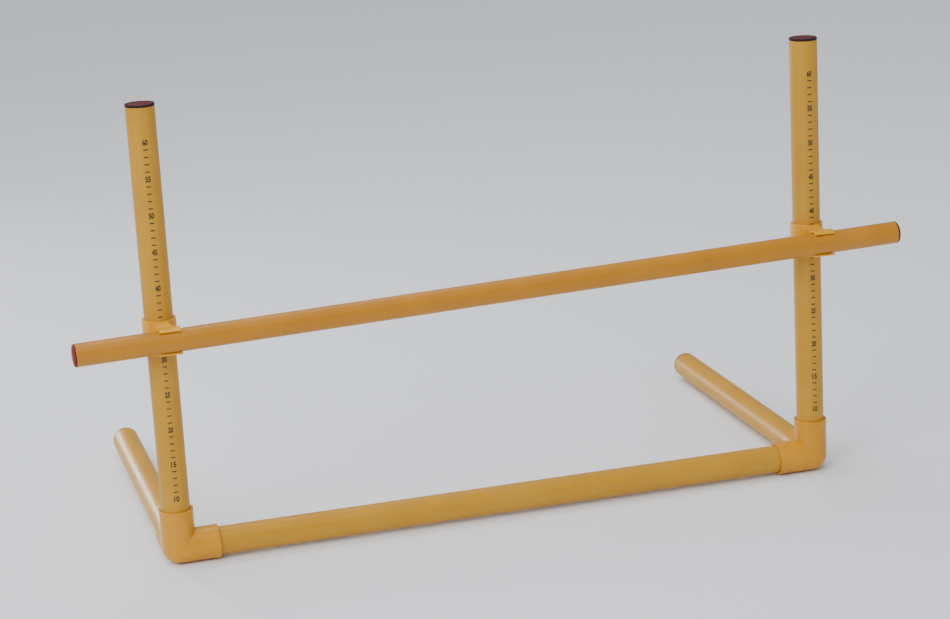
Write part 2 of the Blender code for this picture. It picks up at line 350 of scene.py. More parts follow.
def mottle_group():
    """Slow cloudy variation of a moulded or drawn plastic's colour."""
    inputs = (("Vector", "NodeSocketVector", None), ("Scale", "NodeSocketFloat", 20.0))
    group, entry, leave = new_group("plastic_mottle", inputs, (("Value", "NodeSocketFloat"),))
    noise = group.nodes.new("ShaderNodeTexNoise")
    noise.inputs["Detail"].default_value = 5.0
    noise.inputs["Roughness"].default_value = 0.62
    group.links.new(entry.outputs["Vector"], noise.inputs["Vector"])
    group.links.new(entry.outputs["Scale"], noise.inputs["Scale"])
    group.links.new(ramp(group, noise.outputs["Fac"], 0.30, 0.70), leave.inputs["Value"])
    return group


def orange_peel_group():
    """Fine uneven skin, as a height."""
    inputs = (("Vector", "NodeSocketVector", None), ("Scale", "NodeSocketFloat", 700.0))
    group, entry, leave = new_group("plastic_skin", inputs, (("Height", "NodeSocketFloat"),))
    noise = group.nodes.new("ShaderNodeTexNoise")
    noise.inputs["Detail"].default_value = 3.0
    group.links.new(entry.outputs["Vector"], noise.inputs["Vector"])
    group.links.new(entry.outputs["Scale"], noise.inputs["Scale"])
    group.links.new(noise.outputs["Fac"], leave.inputs["Height"])
    return group


def shared_effects():
    for name, make in (("handling_marks", handling_marks_group),
                       ("plastic_mottle", mottle_group),
                       ("plastic_skin", orange_peel_group)):
        if name not in bpy.data.node_groups:
            make()


def add_group(tree, name, vector, **values):
    node = tree.nodes.new("ShaderNodeGroup")
    node.node_tree = bpy.data.node_groups[name]
    tree.links.new(vector, node.inputs["Vector"])
    for label, value in values.items():
        node.inputs[label].default_value = value
    return node.outputs[0]


def mix_colour(tree, factor, first, second):
    node = tree.nodes.new("ShaderNodeMix")
    node.data_type = "RGBA"
    tree.links.new(factor, node.inputs["Factor"])
    for socket, value in ((node.inputs["A"], first), (node.inputs["B"], second)):
        if isinstance(value, tuple):
            socket.default_value = value
        else:
            tree.links.new(value, socket)
    return node.outputs["Result"]


def shade(colour, factor):
    """A colour made lighter or darker, as the four values that a socket takes."""
    return (*(min(channel * factor, 1.0) for channel in colour), 1.0)


def plastic(name, colour, dust, roughness, streak=None, slope=0.0, mottle=18.0,
            wear=0.5, skin=0.02):
    """Plastic with mottled colour, handling marks and, where drawn, long streaks.

    streak stretches the streaks: small along the tube and large across it.
    """
    shared_effects()
    material = bpy.data.materials.new(name)
    material.use_nodes = True
    tree = material.node_tree
    shader = tree.nodes["Principled BSDF"]
    place = tree.nodes.new("ShaderNodeTexCoord")
    align = tree.nodes.new("ShaderNodeMapping")
    align.inputs["Rotation"].default_value = (0, slope, 0)
    tree.links.new(place.outputs["Object"], align.inputs["Vector"])
    vector = align.outputs["Vector"]
    clouds = add_group(tree, "plastic_mottle", vector, Scale=mottle)
    marks = add_group(tree, "handling_marks", vector, Amount=wear)
    surface = mix_colour(tree, clouds, shade(colour, 0.90), shade(colour, 1.09))
    height = add_group(tree, "plastic_skin", vector, Scale=650.0)
    gloss = maths(tree, "ADD", maths(tree, "MULTIPLY", clouds, 0.06), roughness - 0.03)
    if streak:
        lines = ramp(tree, stretched_noise(tree, vector, streak, 1.0, 3.0), 0.32, 0.68)
        surface = mix_colour(tree, maths(tree, "MULTIPLY", lines, 0.35), surface,
                             shade(colour, 0.84))
        height = maths(tree, "ADD", height, maths(tree, "MULTIPLY", lines, 1.6))
        gloss = maths(tree, "ADD", gloss, maths(tree, "MULTIPLY", lines, 0.05))
    surface = mix_colour(tree, maths(tree, "MULTIPLY", marks, 0.30), surface, (*dust, 1.0))
    gloss = maths(tree, "ADD", gloss, maths(tree, "MULTIPLY", marks, 0.25))
    bump = tree.nodes.new("ShaderNodeBump")
    bump.inputs["Strength"].default_value = skin
    bump.inputs["Distance"].default_value = 0.0006
    tree.links.new(height, bump.inputs["Height"])
    tree.links.new(bump.outputs["Normal"], shader.inputs["Normal"])
    tree.links.new(surface, shader.inputs["Base Color"])
    tree.links.new(gloss, shader.inputs["Roughness"])
    shader.inputs["IOR"].default_value = 1.42
    return material


def tube_plastic(direction):
    """The ochre tube plastic, its streaks along x, y or z."""
    name = f"tube_plastic_along_{direction}"
    if name in bpy.data.materials:
        return bpy.data.materials[name]
    colours = bpy.context.scene.hurdle_colours
    stretch = tuple(1.5 if letter == direction else 170.0 for letter in "xyz")
    return plastic(name, colours.tube, colours.dust, 0.40, streak=stretch, wear=0.6, skin=0.10)


def fitting_plastic():
    if "elbow_plastic" in bpy.data.materials:
        return bpy.data.materials["elbow_plastic"]
    colours = bpy.context.scene.hurdle_colours
    return plastic("elbow_plastic", colours.fitting, colours.dust, 0.36, mottle=30.0,
                   wear=0.45, skin=0.16)


def ink_finish():
    """Printed ink, thin in places so that a little of the tube shows through."""
    colours = bpy.context.scene.hurdle_colours
    shared_effects()
    material = bpy.data.materials.new("printed_ink")
    material.use_nodes = True
    tree = material.node_tree
    shader = tree.nodes["Principled BSDF"]
    place = tree.nodes.new("ShaderNodeTexCoord")
    thin = add_group(tree, "plastic_mottle", place.outputs["Object"], Scale=420.0)
    marks = add_group(tree, "handling_marks", place.outputs["Object"], Amount=0.4)
    worn = maths(tree, "ADD", maths(tree, "MULTIPLY", thin, 0.05),
                 maths(tree, "MULTIPLY", marks, 0.2))
    surface = mix_colour(tree, worn, (*colours.ink, 1.0), (*colours.tube, 1.0))
    tree.links.new(surface, shader.inputs["Base Color"])
    tree.links.new(maths(tree, "ADD", maths(tree, "MULTIPLY", thin, 0.15), 0.45),
                   shader.inputs["Roughness"])
    return material


def plug_plastic(name, colour, outer_r, centre, axis, domed):
    """Red plug plastic with painted shade, nearly black, round a flat flange's border or at a domed
    one's foot.
    """
    colours = bpy.context.scene.hurdle_colours
    material = plastic(name, colour, colours.dust, 0.60, mottle=140.0, wear=0.2, skin=0.15)
    tree = material.node_tree
    shader = tree.nodes["Principled BSDF"]
    shader.inputs["Specular IOR Level"].default_value = 0.25
    surface = shader.inputs["Base Color"].links[0].from_socket
    place = tree.nodes.new("ShaderNodeTexCoord")
    turn = tree.nodes.new("ShaderNodeMapping")
    turn.vector_type = "TEXTURE"
    turn.inputs["Location"].default_value = centre
    turn.inputs["Rotation"].default_value = UP.rotation_difference(axis).to_euler()
    flat = tree.nodes.new("ShaderNodeVectorMath")
    flat.operation = "MULTIPLY"
    flat.inputs[1].default_value = (1, 1, 0)
    length = tree.nodes.new("ShaderNodeVectorMath")
    length.operation = "LENGTH"
    tree.links.new(place.outputs["Object"], turn.inputs["Vector"])
    tree.links.new(turn.outputs["Vector"], flat.inputs[0])
    tree.links.new(flat.outputs["Vector"], length.inputs[0])
    # painted shade: near black at a domed plug's foot, where it meets the tube, or round a flat
    # flange's border
    if domed:
        split = tree.nodes.new("ShaderNodeSeparateXYZ")
        tree.links.new(turn.outputs["Vector"], split.inputs["Vector"])
        edge = ramp(tree, split.outputs["Z"], FOOT_SHADE_TOP, FOOT_SHADE_FULL)
    else:
        edge = ramp(tree, length.outputs["Value"], outer_r * 0.86, outer_r * 0.93)
    # the painted rim shade is mixed over the plug's own colour here
    surface = mix_colour(tree, edge, surface, (*colours.plug_rim, 1.0))
    tree.links.new(surface, shader.inputs["Base Color"])
    return material


# ---- tubes ----------------------------------------------------------------------
def model_tube(name, start, axis, length, outer_r, wall):
    """A cut length of tube with both ends deburred."""
    sizes = bpy.context.scene.hurdle_sizes
    edge = sizes.cut_edge
    inner_r = outer_r - wall
    outline = rounded((
        (inner_r, length / 2, 0),
        (inner_r, 0, edge),
        (outer_r, 0, edge),
        (outer_r, length, edge),
        (inner_r, length, edge),
        (inner_r, length / 2, 0),
    ), steps=3)
    tube = turned(name, outline, sizes.facets)
    set_down(tube, start, axis)
    smooth(tube)
    return tube


class HURDLE_OT_base(bpy.types.Operator):
    """Model the cross tube of the base and the two legs"""

    bl_idname = "hurdle.base"
    bl_label = "Base and legs"

    def execute(self, context):
        sizes = context.scene.hurdle_sizes
        low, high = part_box("base_tube")
        start = middle("base_tube")
        start.x = low[0]
        tube = model_tube("cross_tube", start, RIGHT, high[0] - low[0], TUBE_R, sizes.tube_wall)
        finish_piece(tube, "frame", tube_plastic("x"), "base_tube")
        for side, _sign in SIDES:
            node = f"{side}_leg_tube"
            low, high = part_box(node)
            start = middle(node)
            start.y = low[1]
            leg = model_tube(f"{side}_leg", start, BACK, high[1] - low[1], TUBE_R, sizes.tube_wall)
            finish_piece(leg, "frame", tube_plastic("y"), node)
        return {"FINISHED"}


class HURDLE_OT_uprights(bpy.types.Operator):
    """Model the two uprights"""

    bl_idname = "hurdle.uprights"
    bl_label = "Uprights"

    def execute(self, context):
        wall = context.scene.hurdle_sizes.tube_wall
        for side, _sign in SIDES:
            node = f"{side}_upright_tube"
            low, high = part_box(node)
            start = middle(node)
            start.z = low[2]
            post = model_tube(f"{side}_upright", start, UP, high[2] - low[2], TUBE_R, wall)
            finish_piece(post, "frame", tube_plastic("z"), node)
        return {"FINISHED"}


class HURDLE_OT_crossbar(bpy.types.Operator):
    """Model the crossbar tube"""

    bl_idname = "hurdle.crossbar"
    bl_label = "Crossbar"

    def execute(self, context):
        scene = context.scene
        start = BAR_MIDDLE - BAR_HALF * ALONG_BAR
        bar = model_tube("crossbar", start, ALONG_BAR, 2 * BAR_HALF, BAR_R,
                         scene.hurdle_sizes.bar_wall)
        colours = scene.hurdle_colours
        finish = plastic("crossbar_plastic", colours.bar, colours.dust, 0.38,
                         streak=(1.5, 190.0, 190.0), slope=BAR_SLOPE, wear=0.6, skin=0.10)
        finish_piece(bar, "crossbar", finish, "crossbar_tube")
        return {"FINISHED"}


# ---- printed scales ---------------------------------------------------------------
FIRST_FIGURE = 10           # centimetres above the floor
LAST_FIGURE = 60
FIGURE_STEP = 5
BUILT_IN_FIGURE = 0.73      # height of the built-in font's figures at size 1
FIGURE_BOLD = 0.50 * MM     # how far a figure's outline is pushed out
FIGURE_CURVE_STEPS = 6
PRINT_MERGE = 1e-6          # a print's own points are closer together than MERGE
STRIP = 1.0 * MM            # printed shapes are cut into strips this wide to bend


def print_figure(number, height_mark):
    """A number of the scale as a flat mesh facing -Y, centred on its mark."""
    sizes = bpy.context.scene.hurdle_sizes
    start_fresh()
    bpy.ops.object.text_add(rotation=(math.pi / 2, 0, 0))
    text = bpy.context.object
    text.data.body = str(number)
    text.data.size = sizes.figure_height / BUILT_IN_FIGURE
    text.data.offset = FIGURE_BOLD
    text.data.resolution_u = FIGURE_CURVE_STEPS
    text.data.align_x = "CENTER"
    bpy.ops.object.convert(target="MESH")
    figure = bpy.context.object
    bpy.ops.object.transform_apply(location=True, rotation=True, scale=True)
    corners = [vertex.co for vertex in figure.data.vertices]
    low = Vector([min(corner[axis] for corner in corners) for axis in range(3)])
    high = Vector([max(corner[axis] for corner in corners) for axis in range(3)])
    edit(figure)
    centre = (low + high) / 2
    bpy.ops.transform.translate(value=-centre)
    across = sizes.figure_width / (high.x - low.x)
    tall = sizes.figure_height / (high.z - low.z)
    bpy.ops.transform.resize(value=(across, 1, tall), center_override=(0, 0, 0))
    bpy.ops.transform.translate(value=(0, 0, height_mark))
    leave_edit()
    return figure


def print_mark(height_mark):
    sizes = bpy.context.scene.hurdle_sizes
    start_fresh()
    bpy.ops.mesh.primitive_plane_add(size=1, rotation=(math.pi / 2, 0, 0))
    mark = bpy.context.object
    mark.scale = (sizes.mark_width, sizes.mark_height, 1)
    mark.location = (0, 0, height_mark)
    bpy.ops.object.transform_apply(location=True, rotation=True, scale=True)
    return mark


def join(pieces, name):
    start_fresh()
    for piece in pieces:
        piece.select_set(True)
    bpy.context.view_layer.objects.active = pieces[0]
    bpy.ops.object.join()
    pieces[0].name = name
    return pieces[0]


def cut_into_strips(piece, half_width):
    """Cut a flat print with upright planes, so that it can follow a tube."""
    edit(piece)
    bpy.ops.mesh.remove_doubles(threshold=PRINT_MERGE)
    count = int(half_width / STRIP)
    for step in range(-count, count + 1):
        bpy.ops.mesh.select_all(action="SELECT")
        bpy.ops.mesh.bisect(plane_co=(step * STRIP, 0, 0), plane_no=(1, 0, 0))
    leave_edit()


class HURDLE_OT_scales(bpy.types.Operator):
    """Print the centimetre scale on each upright"""

    bl_idname = "hurdle.scales"
    bl_label = "Printed scales"

    def execute(self, context):
        sizes = context.scene.hurdle_sizes
        finish = ink_finish()
        prints = []
        for centimetre in range(FIRST_FIGURE, LAST_FIGURE + 1):
            height = centimetre * 10 * MM
            if centimetre % FIGURE_STEP == 0:
                prints.append(print_figure(centimetre, height))
            else:
                prints.append(print_mark(height))
        master = join(prints, "left_scale")
        cut_into_strips(master, max(sizes.figure_width, sizes.mark_width) / 2)
        twin = master.copy()
        twin.data = master.data.copy()
        twin.name = "right_scale"
        context.collection.objects.link(twin)
        for side, scale in (("left", master), ("right", twin)):
            axis = middle(f"{side}_upright_tube")
            set_down(scale, (axis.x, axis.y - 2 * TUBE_R, 0))
            wrap = scale.modifiers.new("wrap", "SHRINKWRAP")
            wrap.target = bpy.data.objects[f"{side}_upright"]
            wrap.wrap_method = "PROJECT"
            wrap.use_project_y = True
            wrap.use_positive_direction = True
            wrap.use_negative_direction = False
            wrap.wrap_mode = "ABOVE_SURFACE"
            wrap.offset = sizes.ink / 2
            ink = scale.modifiers.new("ink", "SOLIDIFY")
            ink.thickness = sizes.ink
            ink.offset = 1.0
            pick(scale)
            bpy.ops.object.modifier_apply(modifier=wrap.name)
            bpy.ops.object.modifier_apply(modifier=ink.name)
            clean(scale, PRINT_MERGE)
            finish_piece(scale, "frame", finish)
        return {"FINISHED"}


# ---- corner elbows ------------------------------------------------------------------
MOUTH_ROUNDING = 0.9 * MM
BAND_RAMP = 2.0 * MM
BALL_INSET = 0.02 * MM      # keeps the corner's ball just inside the sockets
PASSAGE_BACK = 12.0 * MM
PAST = 2.0 * MM             # how far a cutter runs past the face it opens


def socket_body(name, origin, axis, roll, reach):
    """Outside of one socket, with the thicker band at its mouth."""
    sizes = bpy.context.scene.hurdle_sizes
    body_r = SOCKET_R - sizes.band_rise
    band_start = reach - sizes.socket_band
    outline = rounded((
        (0, -BALL_INSET, 0),
        (body_r, -BALL_INSET, 0),
        (body_r, band_start - BAND_RAMP, 1.5 * MM),
        (SOCKET_R, band_start, 1.5 * MM),
        (SOCKET_R, reach, MOUTH_ROUNDING),
        (0, reach, 0),
    ))
    return set_down(turned(name, outline, sizes.facets), origin, axis, roll)


def socket_bore(name, origin, axis, roll, reach):
    """Cutter for the tube's bore, its lead-in, its ledge and the passage."""
    sizes = bpy.context.scene.hurdle_sizes
    bore_r = TUBE_R + sizes.fit_gap
    lead_in = 0.9 * MM
    outline = rounded((
        (0, -PASSAGE_BACK, 0),
        (sizes.passage_radius, -PASSAGE_BACK, 2.0 * MM),
        (sizes.passage_radius, sizes.socket_stop, 0.5 * MM),
        (bore_r, sizes.socket_stop, 0.5 * MM),
        (bore_r, reach - lead_in, 0.6 * MM),
        (bore_r + lead_in, reach + 0.1 * MM, 0),
        (bore_r + lead_in, reach + PAST, 0),
        (0, reach + PAST, 0),
    ))
    return set_down(turned(name, outline, sizes.facets), origin, axis, roll)


class HURDLE_OT_elbows(bpy.types.Operator):
    """Model the two three-way corner elbows"""

    bl_idname = "hurdle.elbows"
    bl_label = "Corner elbows"

    def execute(self, context):
        sizes = context.scene.hurdle_sizes
        facet = 2 * math.pi / sizes.facets
        for side, sign in SIDES:
            node = f"{side}_corner_elbow"
            centre = corner(side)
            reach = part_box(node)[1][2] - centre.z
            sockets = ((UP, 0.0), (-sign * RIGHT, facet / 3), (BACK, facet / 5))
            bodies = [socket_body("socket", centre, axis, roll, reach) for axis, roll in sockets]
            elbow = bodies[0]
            elbow.name = f"{side}_elbow"
            combine(elbow, bodies[1], "UNION")
            combine(elbow, bodies[2], "UNION")
            start_fresh()
            ball_r = SOCKET_R - sizes.band_rise - BALL_INSET
            bpy.ops.mesh.primitive_uv_sphere_add(segments=sizes.facets, ring_count=sizes.facets // 2,
                                                 radius=ball_r)
            ball = set_down(bpy.context.object, centre, UP, facet / 7)
            combine(elbow, ball, "UNION")
            for axis, roll in sockets:
                combine(elbow, socket_bore("bore", centre, axis, roll, reach), "DIFFERENCE")
            smooth(elbow, angle=32)
            finish_piece(elbow, "frame", fitting_plastic(), node)
        return {"FINISHED"}


# ---- end plugs ------------------------------------------------------------------------
DISH_MARGIN = 3.0 * MM
DISH_DEPTH = 0.6 * MM
DOME = 1.5 * MM
FOOT_SHADE_TOP = 1.35 * MM      # painted shade at a domed plug's foot: none above this height
FOOT_SHADE_FULL = 1.05 * MM       # and full below this one
RIBS = 3
PLUG_WALL = 2.0 * MM
CENTRE_BOSS = 2.2 * MM      # small raised boss left by the moulding gate


def model_plug(name, tube_end, axis, outer_r, tube_wall, domed):
    """Ribbed cup with a dished or domed flange that covers the tube's cut end."""
    sizes = bpy.context.scene.hurdle_sizes
    rib_r = outer_r - tube_wall - sizes.fit_gap
    root_r = rib_r - sizes.rib_height
    inner_r = root_r - PLUG_WALL
    thick = PLUG_THICK - sizes.fit_gap
    dish_r = outer_r - DISH_MARGIN
    floor = thick - DISH_DEPTH
    dished_face = [
        (0, floor + 0.25 * MM, 0),
        (CENTRE_BOSS, floor + 0.25 * MM, 0.3 * MM),
        (CENTRE_BOSS + 0.4 * MM, floor, 0.3 * MM),
        (dish_r - DISH_DEPTH, floor, 0.4 * MM),
        (dish_r, thick, 0.4 * MM),
        (outer_r, thick, 0.9 * MM),
    ]
    domed_face = [
        (0, thick + DOME, 0),
        (outer_r * 0.35, thick + DOME * 0.90, 3.0 * MM),
        (outer_r * 0.65, thick + DOME * 0.60, 3.0 * MM),
        (outer_r * 0.88, thick + DOME * 0.10, 2.0 * MM),
        (outer_r, thick * 0.55, 1.6 * MM),
    ]
    corners = domed_face if domed else dished_face
    corners += [
        (outer_r, 0, 0.25 * MM),
        (root_r, 0, 0),
    ]
    pitch = sizes.plug_depth / (RIBS + 1)
    for rib in range(1, RIBS + 1):
        height = -rib * pitch
        corners.append((root_r, height + sizes.rib_height, 0.2 * MM))
        corners.append((rib_r, height, 0.3 * MM))
        corners.append((root_r, height - 2 * sizes.rib_height, 0.2 * MM))
    corners += [
        (root_r, -sizes.plug_depth, 0.4 * MM),
        (inner_r, -sizes.plug_depth, 0.4 * MM),
        (inner_r, 0, 0.8 * MM),
        (0, 0, 0),
    ]
    plug = turned(name, rounded(corners, steps=3), sizes.facets)
    set_down(plug, tube_end + sizes.fit_gap * axis, axis)
    smooth(plug)
    return plug


class HURDLE_OT_plugs(bpy.types.Operator):
    """Model the six end plugs"""

    bl_idname = "hurdle.plugs"
    bl_label = "End plugs"

    def execute(self, context):
        sizes = context.scene.hurdle_sizes
        colours = context.scene.hurdle_colours
        ends = []
        for side, sign in SIDES:
            post = middle(f"{side}_upright_tube")
            post.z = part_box(f"{side}_upright_tube")[1][2]
            ends.append((f"{side}_upright_plug", post, UP, TUBE_R, sizes.tube_wall, "frame"))
            leg = middle(f"{side}_leg_tube")
            leg.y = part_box(f"{side}_leg_tube")[1][1]
            ends.append((f"{side}_leg_plug", leg, BACK, TUBE_R, sizes.tube_wall, "frame"))
            bar_end = BAR_MIDDLE + sign * BAR_HALF * ALONG_BAR
            ends.append((f"crossbar_{side}_plug", bar_end, sign * ALONG_BAR, BAR_R,
                         sizes.bar_wall, "crossbar"))
        for node, tube_end, axis, outer_r, wall, body in ends:
            domed = body == "crossbar"
            # painted shade: the upright and leg plugs take a darkened copy of the crossbar plugs'
            # red
            colour = colours.bar_plug if domed else colours.plug
            plug = model_plug(f"{node}_cap", tube_end, axis, outer_r, wall, domed)
            finish = plug_plastic(f"{node}_plastic", colour, outer_r, tube_end, axis, domed)
            finish_piece(plug, body, finish, node)
        return {"FINISHED"}


# ---- sliding clips ------------------------------------------------------------------------
COLLAR_MOUTH = math.radians(52)     # half of the opening at the back
JAW_MOUTH = math.radians(56)        # half of the opening at the front
LIP_FLARE = math.radians(10)
LIP_TURN_R = 8.0 * MM
EDGE = 0.7 * MM
SPIN_STEPS = 80
NOTCH_R = 1.1 * MM
NOTCH_DEPTH = 3.2 * MM


def select_end_face(piece, centre):
    """Select the one face whose middle is nearest to a point, in edit mode."""
    leave_edit()
    faces = piece.data.polygons
    for group in (piece.data.vertices, piece.data.edges, faces):
        group.foreach_set("select", [False] * len(group))
    nearest = min(faces, key=lambda face: (face.center - centre).length)
    nearest.select = True
    bpy.ops.object.mode_set(mode="EDIT")


def open_ring(name, inner_r, wall, length, mouth):
    """C-shaped spring ring about Z, open towards +X, with flared bull-nosed lips."""
    middle_r = inner_r + wall / 2
    mouth += (LIP_TURN_R * LIP_FLARE + wall / 2) / middle_r
    start_fresh()
    bpy.ops.mesh.primitive_plane_add(size=1, rotation=(math.pi / 2, 0, 0))
    ring = bpy.context.object
    ring.name = name
    ring.scale = (wall, length, 1)
    ring.location = (middle_r, 0, 0)
    bpy.ops.object.transform_apply(location=True, rotation=True, scale=True)
    edit(ring)
    bpy.ops.mesh.bevel(offset=EDGE, segments=4, affect="VERTICES")
    bpy.ops.mesh.select_all(action="SELECT")
    bpy.ops.transform.rotate(value=-mouth, orient_axis="Z", center_override=(0, 0, 0))
    leave_edit()
    first = sum((vertex.co for vertex in ring.data.vertices), Vector()) / len(ring.data.vertices)
    start_angle = math.atan2(first.y, first.x)
    turn = 1 if start_angle > 0 else -1
    sweep = turn * 2 * (math.pi - mouth)
    edit(ring)
    bpy.ops.mesh.spin(steps=SPIN_STEPS, angle=-sweep, center=(0, 0, 0), axis=(0, 0, 1))
    leave_edit()
    for lip_angle in (start_angle, -start_angle):
        grow_lip(ring, lip_angle, middle_r, wall)
    clean(ring)
    return ring


def grow_lip(ring, lip_angle, middle_r, wall):
    """Flare one lip outwards and round its end off."""
    outwards = Vector((math.cos(lip_angle), math.sin(lip_angle), 0))
    towards_mouth = Vector((math.sin(lip_angle), -math.cos(lip_angle), 0))
    if lip_angle < 0:
        towards_mouth = -towards_mouth
    edit(ring, "DESELECT")
    place = middle_r * outwards
    select_end_face(ring, place)
    steps = 5
    for step in range(steps):
        lean = LIP_FLARE * (step + 0.5) / steps
        heading = (towards_mouth * math.cos(lean) + outwards * math.sin(lean)).normalized()
        move = heading * LIP_TURN_R * LIP_FLARE / steps
        place = place + move
        bpy.ops.mesh.extrude_region_move(TRANSFORM_OT_translate={"value": move})
    nose = 5
    heading = (towards_mouth * math.cos(LIP_FLARE) + outwards * math.sin(LIP_FLARE)).normalized()
    sideways = Vector((-heading.y, heading.x, 0))
    old_depth, old_width = 0.0, 1.0
    for step in range(1, nose + 1):
        angle = math.pi / 2 * step / nose * 0.94
        depth = math.sin(angle)
        width = math.cos(angle)
        move = heading * wall / 2 * (depth - old_depth)
        place = place + move
        bpy.ops.mesh.extrude_region_move(TRANSFORM_OT_translate={"value": move})
        ratio = width / old_width
        shrink = Vector((1 - (1 - ratio) * abs(sideways.x), 1 - (1 - ratio) * abs(sideways.y), 1))
        bpy.ops.transform.resize(value=shrink, center_override=place)
        old_depth, old_width = depth, width
    leave_edit()


def loft(name, stations):
    """Solid drawn through level rectangles, each (height, x low, x high, y low, y high)."""
    start_fresh()
    bpy.ops.mesh.primitive_plane_add(size=1)
    piece = bpy.context.object
    piece.name = name
    height, x_low, x_high, y_low, y_high = stations[0]
    piece.scale = (x_high - x_low, y_high - y_low, 1)
    piece.location = ((x_low + x_high) / 2, (y_low + y_high) / 2, height)
    bpy.ops.object.transform_apply(location=True, rotation=True, scale=True)
    edit(piece)
    for old, new in zip(stations, stations[1:]):
        old_middle = Vector(((old[1] + old[2]) / 2, (old[3] + old[4]) / 2, old[0]))
        new_middle = Vector(((new[1] + new[2]) / 2, (new[3] + new[4]) / 2, new[0]))
        move = {"value": new_middle - old_middle}
        bpy.ops.mesh.extrude_region_move(TRANSFORM_OT_translate=move)
        wider = (new[2] - new[1]) / (old[2] - old[1])
        deeper = (new[4] - new[3]) / (old[4] - old[3])
        bpy.ops.transform.resize(value=(wider, deeper, 1), center_override=new_middle)
    leave_edit()
    clean(piece)
    return piece


def web_stations(bar_forward, collar_outer_r):
    """Level sections of the web: narrow at the collar's rim, as wide as the jaw below."""
    sizes = bpy.context.scene.hurdle_sizes
    jaw_middle_r = BAR_R + sizes.jaw_play + sizes.jaw_wall / 2
    back = -(collar_outer_r - sizes.collar_wall * 0.7)
    narrow = sizes.web_width / 2
    jaw_low = sizes.jaw_offset - sizes.jaw_width / 2
    jaw_high = sizes.jaw_offset + sizes.jaw_width / 2
    shoulder = 0.58 * CLIP_HALF_HEIGHT
    rim_front = -(collar_outer_r + 0.5 * MM)
    shoulder_front = -bar_forward + math.sqrt(jaw_middle_r ** 2 - shoulder ** 2)
    upper = []
    steps = 7
    for step in range(steps + 1):
        t = step / steps
        flare = t ** 1.8
        height = CLIP_HALF_HEIGHT + (shoulder - CLIP_HALF_HEIGHT) * t
        front = rim_front + (shoulder_front - rim_front) * flare
        x_low = -narrow + (jaw_low + narrow) * flare
        x_high = narrow + (jaw_high - narrow) * flare
        upper.append((height, x_low, x_high, front, back))
    inside = []
    for step in range(1, steps):
        height = shoulder * (1 - 2 * step / steps)
        front = -bar_forward + math.sqrt(jaw_middle_r ** 2 - height ** 2)
        inside.append((height, jaw_low + 0.2 * MM, jaw_high - 0.2 * MM, front, back))
    lower = [(-height, *rest) for height, *rest in reversed(upper)]
    return upper + inside + lower


def model_clip(name, side, facets):
    """One moulding: collar open at the back, web, and jaw open at the front."""
    sizes = bpy.context.scene.hurdle_sizes
    upright = middle(f"{side}_upright_tube")
    height = middle(f"{side}_clip").z
    origin = Vector((upright.x, upright.y, height))
    bar_forward = upright.y - BAR_MIDDLE.y
    collar = open_ring(name, COLLAR_R - sizes.collar_wall, sizes.collar_wall,
                       2 * CLIP_HALF_HEIGHT, COLLAR_MOUTH)
    set_down(collar, (0, 0, 0), UP, math.pi / 2)
    jaw = open_ring("jaw", BAR_R + sizes.jaw_play, sizes.jaw_wall, sizes.jaw_width, JAW_MOUTH)
    set_down(jaw, (sizes.jaw_offset, -bar_forward, 0), RIGHT, -math.pi / 2)
    web = loft("web", web_stations(bar_forward, COLLAR_R))
    round_edges(web, 0.5 * MM, segments=2, angle=50)
    combine(collar, web, "UNION")
    combine(collar, jaw, "UNION")
    for sign in (-1, 1):
        start_fresh()
        place = (sign * (sizes.web_width / 2 + 0.2 * MM), -(COLLAR_R - 0.6 * MM),
                 CLIP_HALF_HEIGHT)
        bpy.ops.mesh.primitive_cylinder_add(vertices=facets // 4, radius=NOTCH_R,
                                            depth=2 * NOTCH_DEPTH, location=place)
        combine(collar, bpy.context.object, "DIFFERENCE")
    set_down(collar, origin)
    smooth(collar)
    return collar


class HURDLE_OT_clips(bpy.types.Operator):
    """Model the two clips that slide on the uprights"""

    bl_idname = "hurdle.clips"
    bl_label = "Sliding clips"

    def execute(self, context):
        colours = context.scene.hurdle_colours
        finish = plastic("clip_plastic", colours.clip, colours.dust, 0.34, mottle=60.0,
                         wear=0.4, skin=0.12)
        for side, _sign in SIDES:
            clip = model_clip(f"{side}_slider", side, context.scene.hurdle_sizes.facets)
            finish_piece(clip, f"{side}_clip", finish, f"{side}_clip")
        return {"FINISHED"}


# ---- stage ------------------------------------------------------------------------------------
FLOOR_SIZE = 60.0
CAMERA_PLACE = (-0.8967, -3.4234, 1.1885)
CAMERA_TURN = (75.097, 3.059, -16.011)          # degrees
LEG_AIM = (-0.45, 0.1, 0.03)
DAYLIGHT_TURN = (math.radians(24), 0, math.radians(-38))
CAMERA_LENS = 91.87                             # millimetres on a 36 mm sensor


def soft_light(name, place, target, size, power, colour=(1.0, 1.0, 1.0)):
    start_fresh()
    bpy.ops.object.light_add(type="AREA", location=place)
    light = bpy.context.object
    light.name = name
    light.data.shape = "RECTANGLE"
    light.data.size, light.data.size_y = size
    light.data.energy = power
    light.data.color = colour
    aim = Vector(target) - Vector(place)
    light.rotation_euler = aim.to_track_quat("-Z", "Y").to_euler()
    return light


def floor_finish(colour):
    """Pale matt studio floor with the faintest unevenness."""
    shared_effects()
    material = bpy.data.materials.new("studio_floor")
    material.use_nodes = True
    tree = material.node_tree
    shader = tree.nodes["Principled BSDF"]
    place = tree.nodes.new("ShaderNodeTexCoord")
    clouds = add_group(tree, "plastic_mottle", place.outputs["Object"], Scale=0.6)
    surface = mix_colour(tree, clouds, shade(colour, 0.985), shade(colour, 1.01))
    tree.links.new(surface, shader.inputs["Base Color"])
    shader.inputs["Roughness"].default_value = 0.85
    return material


